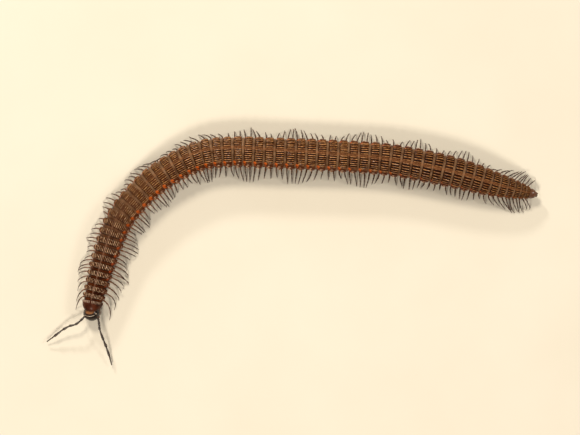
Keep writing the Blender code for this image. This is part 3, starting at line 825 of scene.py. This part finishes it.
def leg_knots(s, side, rng):
    """The ends of a leg's joints, from inside the belly to the claw."""
    middle, tail, right, up = frame_at(s)
    radius = half_width(s)
    level = side * unit(np.array((right[0], right[1], 0.0)))
    belly = middle - up * (ROOT_DEPTH * radius)
    out = radius + reach(s, side) + REACH_EXTRA - REACH_SCATTER * abs(rng.standard_normal())
    shift = foot_shift(s, side) + SWING_SCATTER * rng.standard_normal()
    curl = bump(s, 0.0, CURL_FADE) + CURL_SCATTER * rng.standard_normal()
    lift = 0.0
    if rng.random() < LIFTED_SHARE:
        lift = LIFT
        out -= LIFT_PULL
    ground = np.array((middle[0], middle[1], 0.0))

    def place(share, height, swing):
        return ground + level * share + VERTICAL * height + tail * (shift * swing)

    hip, coxa = [belly + right * (side * share * radius) + up * rise for share, rise in (HIP, COXA)]
    share, rise, swing, loss = THIGH
    thigh = place(share * radius, coxa[2] + rise, swing - loss * curl)
    share, extra, swing, loss = KNEE
    knee = share * radius + extra
    knots = [hip, coxa, thigh, place(knee, KNEE_HEIGHT, swing - loss * curl)]
    for share, stretch, height, raised, swing, loss in LEG_ENDS:
        along = knee + (share + stretch * curl) * (out - knee)
        knots.append(place(along, height + raised * lift, swing - loss * curl))
    return np.array(knots)


def add_leg(builder, s, side, rng, scale):
    """One jointed leg with its claw."""
    knots = leg_knots(s, side, rng)
    path, radii, place, joint = [], [], [], []
    total = len(LEG_JOINTS)
    darker = LEG_DARKER * ease(s, LEG_DARKENING)
    for index, (inner, outer) in enumerate(LEG_JOINTS):
        for t, inner_share, outer_share, seam in LEG_STEPS:
            point = knots[index] * (1 - t) + knots[index + 1] * t
            arch = 0.0 if index in (0, total - 1) else LEG_ARCH * math.sin(math.pi * t)
            path.append(point + VERTICAL * arch)
            thick = inner * inner_share * (1 - t) + outer * outer_share * t
            radii.append(scale * thick / 2 * LEG_THICKENING)
            place.append((index + t) / total + darker)
            joint.append(seam)
    path.append(knots[-1] + (knots[-1] - knots[-2]) * CLAW_LENGTH)
    radii.append(CLAW_RADIUS)
    place.append(1.0)
    joint.append(0.0)
    path = np.array(path)
    path[:, 2] = np.maximum(path[:, 2], np.array(radii) + FOOT_GAP)
    builder.grid(tube(path, radii, LEG_SIDES),
                 {"place": np.array(place)[:, None], "joint": np.array(joint)[:, None]})


def make_legs(material):
    """Two pairs of legs on each ring, one pair on the first rings."""
    for number, (first, last) in enumerate(node_spans(), start=1):
        builder = Builder(("place", "joint"))
        for index in range(first, last):
            pitch = BOUNDS[index + 1] - BOUNDS[index]
            for share in FIRST_PAIRS if index < SINGLE_PAIR_RINGS else LATER_PAIRS:
                s = BOUNDS[index] + share * pitch
                if s > TOTAL - LEG_LAST:
                    continue
                scale = THINNEST_LEG + (1.0 - THINNEST_LEG) * half_width(s) / HALF_WIDTH
                for side in (1, -1):
                    add_leg(builder, s, side, RNG, scale)
        builder.build("legs_%d" % number, material)


# Shield profile: place along it, share of the radius, and how far its crests are raised.
COLLUM_PROFILE = [
    (0.0, 0.62, 0.0), (0.0, 0.76, 0.0), (0.02, 0.815, 0.0), (0.08, 0.865, 0.0),
    (0.18, 0.905, 0.0), (0.32, 0.935, 0.0), (0.48, 0.955, 0.0), (0.6, 0.96, 0.05),
    (0.68, 0.96, 0.35), (0.78, 0.958, 0.75), (0.88, 0.955, 0.95), (0.95, 0.95, 0.9),
    (0.99, 0.94, 0.5), (1.0, 0.915, 0.1), (0.98, 0.86, 0.0), (0.94, 0.74, 0.0),
]
# Front edge on the back and how much later it is on the flanks; length and depth of its drop.
COLLUM_EDGE = (0.86, 0.36)
COLLUM_DROP = (0.35, 0.05)
COLLUM_GAP = 0.03
COLLUM_CREST_SHARE = 0.8
COLLUM_BELLY_LEVEL = 0.95


def make_collum(material):
    """The shield behind the head, round in front, with short crests along its rear edge."""
    rear = RING_START - COLLUM_GAP
    front = COLLUM_EDGE[0] + COLLUM_EDGE[1] * np.sin(np.radians(np.minimum(SIDE_DEGREES, 90.0))) ** 4
    centre = (RING_START + COLLUM_START) / 2
    axes = frame_at(centre)
    crests, crest_share = crest_heights(rear)
    drop_length, drop_depth = COLLUM_DROP
    loops = []
    for v, share, raised in COLLUM_PROFILE:
        s = front + v * (rear - front)
        width = half_width(s)
        out = width * share + raised * crests * COLLUM_CREST_SHARE
        lowest = -BELLY_SHARE * width * share * COLLUM_BELLY_LEVEL
        height = np.maximum(out * HEIGHT_SHARE * np.cos(THETA), lowest)
        height = height - drop_depth * smooth((drop_length - v) / drop_length)
        loops.append(placed(axes, s - centre, out * np.sin(THETA), height))
    builder = Builder(("crest",))
    raised = np.array(COLLUM_PROFILE)[:, 2]
    builder.grid(np.array(loops), {"crest": np.outer(raised, crest_share)})
    builder.build("collum_shield", material, ["collum"])


def sphere_grid(rows, columns):
    """Unit directions of a sphere whose poles are at the sides."""
    polar = np.linspace(0.0, math.pi, rows)[:, None]
    turn = np.linspace(0.0, 2.0 * math.pi, columns, endpoint=False)
    return (np.sin(polar) * np.cos(turn), np.cos(polar) * np.ones_like(turn),
            np.sin(polar) * np.sin(turn))


def in_head(ahead, across, height):
    """Points given ahead, to the right side and up from the middle of the head."""
    middle, tail, right, up = frame_at(HEAD_PLACE)
    middle[2] = HEAD_HEIGHT
    return placed((middle, -tail, right, up), ahead, across, height)


def stretched(place, size, directions):
    """The directions of a sphere, stretched by half sizes and moved to a place."""
    return [middle + half * share for middle, half, share in zip(place, size, directions)]


def head_lobe(place, size, directions, side=1):
    """A rounded lobe in the head's own directions; a left one is mirrored."""
    ahead, across, height = stretched(place, size, directions)
    return in_head(ahead, side * across, height)[::side]


# Half lengths of the head before and behind its middle, half width and half height.
HEAD_SIZE = (0.74, 0.88, 0.8, 0.76)
# Places and half sizes of its lobes: ahead, to the side, up.
CHEEK = ((-0.12, 0.59, -0.25), (0.44, 0.31, 0.42))
LIP = ((0.5, 0.0, -0.48), (0.15, 0.36, 0.13))
CHIN = ((0.05, 0.0, -0.6), (0.42, 0.44, 0.1))
# Eye patch: rows, beads in the lowest row, place of the first bead ahead and up, steps to the next
# bead and to the next row, half sizes of the head under it and of a bead, and the beads' rise.
EYE_ROWS = 6
EYE_BEADS = 7
EYE_START = (0.21, 0.16)
EYE_STEP = (0.058, 0.05)
EYE_BED = (0.7, 0.79, 0.74)
BEAD_SIZE = (0.032, 0.034, 0.032)
BEAD_RISE = 0.002

# Ends of the joints of the antennae, from root to tip.
ANTENNA_RIGHT = [
    (-20.3, -9.74, 1.2), (-20.48, -9.9, 1.24), (-20.83, -10.28, 1.3), (-21.33, -10.69, 1.32),
    (-21.95, -10.83, 1.24), (-22.62, -11.18, 1.06), (-23.52, -11.83, 0.74), (-24.28, -12.35, 0.42),
]
ANTENNA_LEFT = [
    (-19.14, -9.96, 1.2), (-19.07, -10.24, 1.24), (-19.0, -10.69, 1.3), (-18.94, -11.2, 1.31),
    (-18.58, -12.2, 1.16), (-18.3, -12.9, 0.93), (-18.01, -13.8, 0.66), (-17.79, -14.68, 0.4),
]
# Thickness of each joint at its inner and outer end; steps along it, thinner at the seam.
ANTENNA_JOINTS = [
    (0.2, 0.24), (0.15, 0.24), (0.14, 0.25), (0.13, 0.25), (0.13, 0.26), (0.14, 0.25), (0.13, 0.11),
]
ANTENNA_STEPS = (0.03, 0.12, 0.3, 0.5, 0.7, 0.86, 0.94, 0.985)
ANTENNA_SEAM = {0.94: 0.92, 0.985: 0.72}
ANTENNA_SWELL_END = 0.85
ANTENNA_TIP = (0.01, 0.03)
ANTENNA_SIDES = 16
# Down: number of hairs, the step where it starts, depth of a root as a share of the radius,
# lengths, radii along a hair, its lean outwards and forwards, and lowest height of a tip.
HAIRS = 420
HAIR_START = 6.0
HAIR_ROOT = 0.8
HAIR_LENGTHS = (0.05, 0.085)
HAIR_RADII = (0.0055, 0.0045, 0.0012)
HAIR_LEAN = (0.8, 0.9)
HAIR_LOWEST = 0.02
# Raised rim round the root of an antenna: place along it and radius.
SOCKET_PROFILE = [
    (-0.16, 0.1), (-0.1, 0.17), (-0.04, 0.2), (0.02, 0.205), (0.06, 0.19), (0.085, 0.16),
    (0.08, 0.13), (0.06, 0.115),
]
SOCKET_SIDES = 28


def make_capsule(material):
    """The head capsule, with a low raised arc across its top and a pale painted highlight along that arc
    and at both rear corners.

    A point lies f ahead, r to the right and u up on a unit sphere.
    """
    f, r, u = sphere_grid(90, 128)
    low = smooth(-u)
    narrow = 1.0 - 0.26 * low * (0.4 + 0.6 * smooth(f))
    lip = bump(u, -0.44, 0.05) * smooth(f / 0.4) * smooth((0.55 - np.abs(r)) / 0.15)
    suture = bump(r, 0.0, 0.025) * smooth(u / 0.5)
    dent = bump(u, 0.12, 0.16) * (bump(r, 0.5, 0.2) + bump(r, -0.5, 0.2)) * smooth(f / 0.5)
    upper = smooth(u / 0.4)
    # A low raised arc across the top of the head that also carries a painted highlight; at both rear
    # corners, patches of painted highlight.
    brow_ridge_and_glint = bump(f, 0.43 - 0.5 * r ** 2, 0.045) * smooth((0.72 - np.abs(r)) / 0.3) * upper
    corner_glint = bump(np.abs(r), 0.72, 0.11) * bump(f, 0.12 + 0.14 * (r > 0.0), 0.08) * upper
    face = np.hypot(r / 0.66, (f + 0.32) / 0.48) + 2.0 * smooth(-u / 0.3)
    swell = 1.0 - 0.055 * lip - 0.018 * suture - 0.05 * dent + 0.03 * brow_ridge_and_glint
    ahead, behind, breadth, height = HEAD_SIZE
    length = np.where(f > 0.0, ahead, behind) * (1.0 - 0.1 * low)
    points = in_head(length * f * swell, breadth * r * narrow * swell, height * u * swell)
    builder = Builder(("face", "brow_ridge_and_glint"))
    builder.grid(points, {"face": face, "brow_ridge_and_glint": np.clip(brow_ridge_and_glint + corner_glint, 0.0, 1.0)})
    builder.build("head_capsule", material, ["head"])


def make_mouth(material):
    """Grooved cheek lobes, the toothed and notched upper lip, the chin and the antenna rims."""
    f, r, u = sphere_grid(36, 56)
    groove = 1.0 - 0.05 * bump(u, -0.1, 0.1)
    builder = Builder()
    for side in (1, -1):
        builder.grid(head_lobe(*CHEEK, (f * groove, r * groove, u * groove), side))
    builder.build("head_cheeks", material)

    f, r, u = sphere_grid(40, 48)
    tooth = 0.03 * (bump(r, 0.0, 0.09) + bump(r, 0.24, 0.09) + bump(r, -0.24, 0.09))
    notch = 0.1 * bump(r, 0.0, 0.42)
    edge = (notch - tooth) * smooth(-u)
    builder = Builder()
    builder.grid(head_lobe(*LIP, (f, r, u + edge / LIP[1][2])))
    builder.grid(head_lobe(*CHIN, (f, r, u)))
    builder.build("head_lip", material)

    builder = Builder()
    places, radii = zip(*SOCKET_PROFILE)
    for knots in (ANTENNA_RIGHT, ANTENNA_LEFT):
        root = np.array(knots[0])
        axis = unit(np.array(knots[1]) - root)
        builder.grid(tube([root + axis * place for place in places], radii, SOCKET_SIDES))
    builder.build("head_sockets", material)


def make_eyes(material):
    """Two raised patches of small beaded eyes."""
    half_length, half_breadth, half_height = EYE_BED
    bead = sphere_grid(8, 12)
    for name, side, node in (("ocelli_right", 1, "eye_right"), ("ocelli_left", -1, "eye_left")):
        builder = Builder()
        for row in range(EYE_ROWS):
            height = EYE_START[1] + EYE_STEP[1] * row
            for column in range(EYE_BEADS - row):
                ahead = EYE_START[0] - EYE_STEP[0] * (column + row / 2)
                inside = 1.0 - (ahead / half_length) ** 2 - (height / half_height) ** 2
                across = half_breadth * math.sqrt(max(0.0, inside)) + BEAD_RISE
                builder.grid(head_lobe((ahead, across, height), BEAD_SIZE, bead, side))
        builder.build(name, material, [node])


def make_antenna(name, node, knots, material, hair_material):
    """Seven slender joints, each thicker towards its outer end, with a fine down."""
    knots = np.array(knots)
    path, radii = [], []
    for index, (inner, outer) in enumerate(ANTENNA_JOINTS):
        for t in ANTENNA_STEPS:
            path.append(knots[index] * (1 - t) + knots[index + 1] * t)
            thick = inner + (outer - inner) * smooth(t / ANTENNA_SWELL_END)
            radii.append(thick / 2 * ANTENNA_SEAM.get(t, 1.0))
    path.append(knots[-1] + (knots[-1] - knots[-2]) * ANTENNA_TIP[0])
    radii.append(ANTENNA_TIP[1])
    builder = Builder()
    builder.grid(tube(path, radii, ANTENNA_SIDES))
    builder.build(name, material, [node])

    down = Builder()
    for _ in range(HAIRS):
        t = RNG.uniform(HAIR_START, len(path) - 2.0)
        k = int(t)
        base = path[k] * (1 - t + k) + path[k + 1] * (t - k)
        radius = radii[k] * (1 - t + k) + radii[k + 1] * (t - k)
        axis = unit(path[k + 1] - path[k])
        out = unit(np.cross(axis, RNG.standard_normal(3)))
        start = base + out * radius * HAIR_ROOT
        tip = start + (out * HAIR_LEAN[0] + axis * HAIR_LEAN[1]) * RNG.uniform(*HAIR_LENGTHS)
        if tip[2] >= HAIR_LOWEST:
            down.grid(tube([start, (start + tip) / 2, tip], HAIR_RADII, 4, axis))
    down.build(name + "_down", hair_material)


# Telson profile: place along its length and share of its radius at the base.
TELSON_PROFILE = [
    (-0.14, 0.8), (-0.13, 0.92), (-0.05, 0.98), (0.04, 1.0), (0.14, 0.995), (0.24, 0.98),
    (0.34, 0.95), (0.44, 0.9), (0.53, 0.83), (0.61, 0.75), (0.67, 0.67), (0.7, 0.6),
    (0.7, 0.54), (0.67, 0.48),
]
# Its radius as a share of the trunk's there, its height as a share of the radius.
TELSON_SHARE = 0.86
TELSON_HEIGHT_SHARE = 0.95
TELSON_SIDES = 72
# Low knots round it: number, height, place and length.
TELSON_KNOTS = (16, 0.03, 0.34, 0.14)
# Place and half sizes of a valve: along in shares of the length, to the side and up in shares of
# the radius.
VALVE_PLACE = (0.58, 0.2, -0.06)
VALVE_SIZE = (0.4, 0.36, 0.6)


def make_telson(material):
    """The tail end: a small ring and two rounded valves."""
    axes = frame_at(BOUNDS[-1])
    base = half_width(BOUNDS[-1]) * TELSON_SHARE
    length = TOTAL - BOUNDS[-1]
    angle = np.linspace(0.0, 2.0 * math.pi, TELSON_SIDES, endpoint=False)
    count, rise, place, spread = TELSON_KNOTS
    builder = Builder()
    loops = []
    for share, size in TELSON_PROFILE:
        knots = rise * np.cos(angle * count) * bump(share, place, spread)
        out = size * base * (1.0 + knots * (np.cos(angle) > -0.5))
        height = TELSON_HEIGHT_SHARE * out * np.cos(angle)
        loops.append(placed(axes, share * length, out * np.sin(angle), height))
    builder.grid(np.array(loops))
    directions = sphere_grid(30, 40)
    for side in (1, -1):
        along, across, height = stretched(VALVE_PLACE, VALVE_SIZE, directions)
        builder.grid(placed(axes, length * along, side * base * across, base * height)[::side])
    builder.build("telson_skin", material, ["telson"])


def floor_material():
    """Plain pale floor."""
    material, tree, shader = new_material("pale_floor", specular=0.3)
    grain = ramp(tree, noise(tree, 60.0), 0.3, 0.7)
    colour = mix(tree, grain, (0.79, 0.745, 0.65), (0.82, 0.78, 0.69))
    feed(tree, shader, {"Base Color": colour, "Roughness": 0.7})
    return material


# Floor and light; these lengths are metres. Lights: name, place, width, power and colour.
FLOOR_HALF_SIZE = 1.5
WORLD_COLOUR = (1.0, 0.9, 0.76)
WORLD_STRENGTH = 0.2
LIGHTS = [
    ("key", (-0.07, 0.15, 0.2), 0.06, 0.33, (1.0, 0.89, 0.72)),
    ("glint", (-0.11, 0.21, 0.12), 0.03, 0.26, (1.0, 0.93, 0.82)),
    ("near", (-0.04, -0.15, 0.18), 0.05, 0.29, (1.0, 0.9, 0.76)),
    ("side", (0.17, 0.03, 0.18), 0.06, 0.14, (1.0, 0.92, 0.8)),
]


def make_stage():
    """Floor, lights, world and camera."""
    mesh = bpy.data.meshes.new("floor")
    size = FLOOR_HALF_SIZE
    mesh.from_pydata([(-size, -size, 0), (size, -size, 0), (size, size, 0), (-size, size, 0)], [],
                     [(0, 1, 2, 3)])
    mesh.materials.append(floor_material())
    floor = new_object("floor", mesh)

    world = bpy.data.worlds.new("studio")
    world.use_nodes = True
    feed(world.node_tree, world.node_tree.nodes["Background"],
         {"Color": WORLD_COLOUR, "Strength": WORLD_STRENGTH})
    bpy.context.scene.world = world

    for name, place, width, power, colour in LIGHTS:
        light = bpy.data.lights.new(name, "AREA")
        light.shape = "DISK"
        light.size = width
        light.energy = power
        light.color = colour
        obj = new_object(name, light)
        obj.location = place
        obj.rotation_euler = Vector(place).to_track_quat("Z", "Y").to_euler()

    camera = new_object("camera", bpy.data.cameras.new("camera"))
    camera.data.sensor_width = 36.0
    camera.data.lens = camera.data.sensor_width * VIEW_DISTANCE / VIEW_WIDTH
    camera.data.clip_start = 0.01
    tilt = math.radians(VIEW_TILT)
    target = VERTICAL * VIEW_HEIGHT - ORIGIN
    back = np.array((0.0, -math.sin(tilt), math.cos(tilt)))
    camera.location = Vector((target + back * VIEW_DISTANCE) * MM)
    camera.rotation_euler = (tilt, 0.0, 0.0)
    bpy.context.scene.camera = camera
    bpy.context.scene.view_settings.view_transform = "Standard"


def main():
    """All pieces with their materials, and the stage."""
    chitin = trunk_material()
    legs = leg_material()
    shield = shield_material()
    head = head_material()
    cheek = glossy_material("cheek_chitin", (0.06, 0.022, 0.01), (0.11, 0.044, 0.02), 0.24, 0.6)
    feeler = glossy_material("feeler_chitin", (0.014, 0.008, 0.006), (0.035, 0.018, 0.013), 0.38, 0.2)
    down = glossy_material("down", (0.1, 0.06, 0.04), (0.16, 0.1, 0.06), 0.5, 0.0)
    bead = glossy_material("bead_black", (0.004, 0.003, 0.003), (0.01, 0.007, 0.006), 0.1, 1.0)
    tail_end = glossy_material("telson_chitin", (0.05, 0.013, 0.005), (0.15, 0.055, 0.024), 0.3, 0.3)
    make_trunk(chitin)
    make_legs(legs)
    make_collum(shield)
    make_capsule(head)
    make_mouth(cheek)
    make_eyes(bead)
    make_antenna("antenna_right_joints", "antenna_right", ANTENNA_RIGHT, feeler, down)
    make_antenna("antenna_left_joints", "antenna_left", ANTENNA_LEFT, feeler, down)
    make_telson(tail_end)
    make_stage()


main()
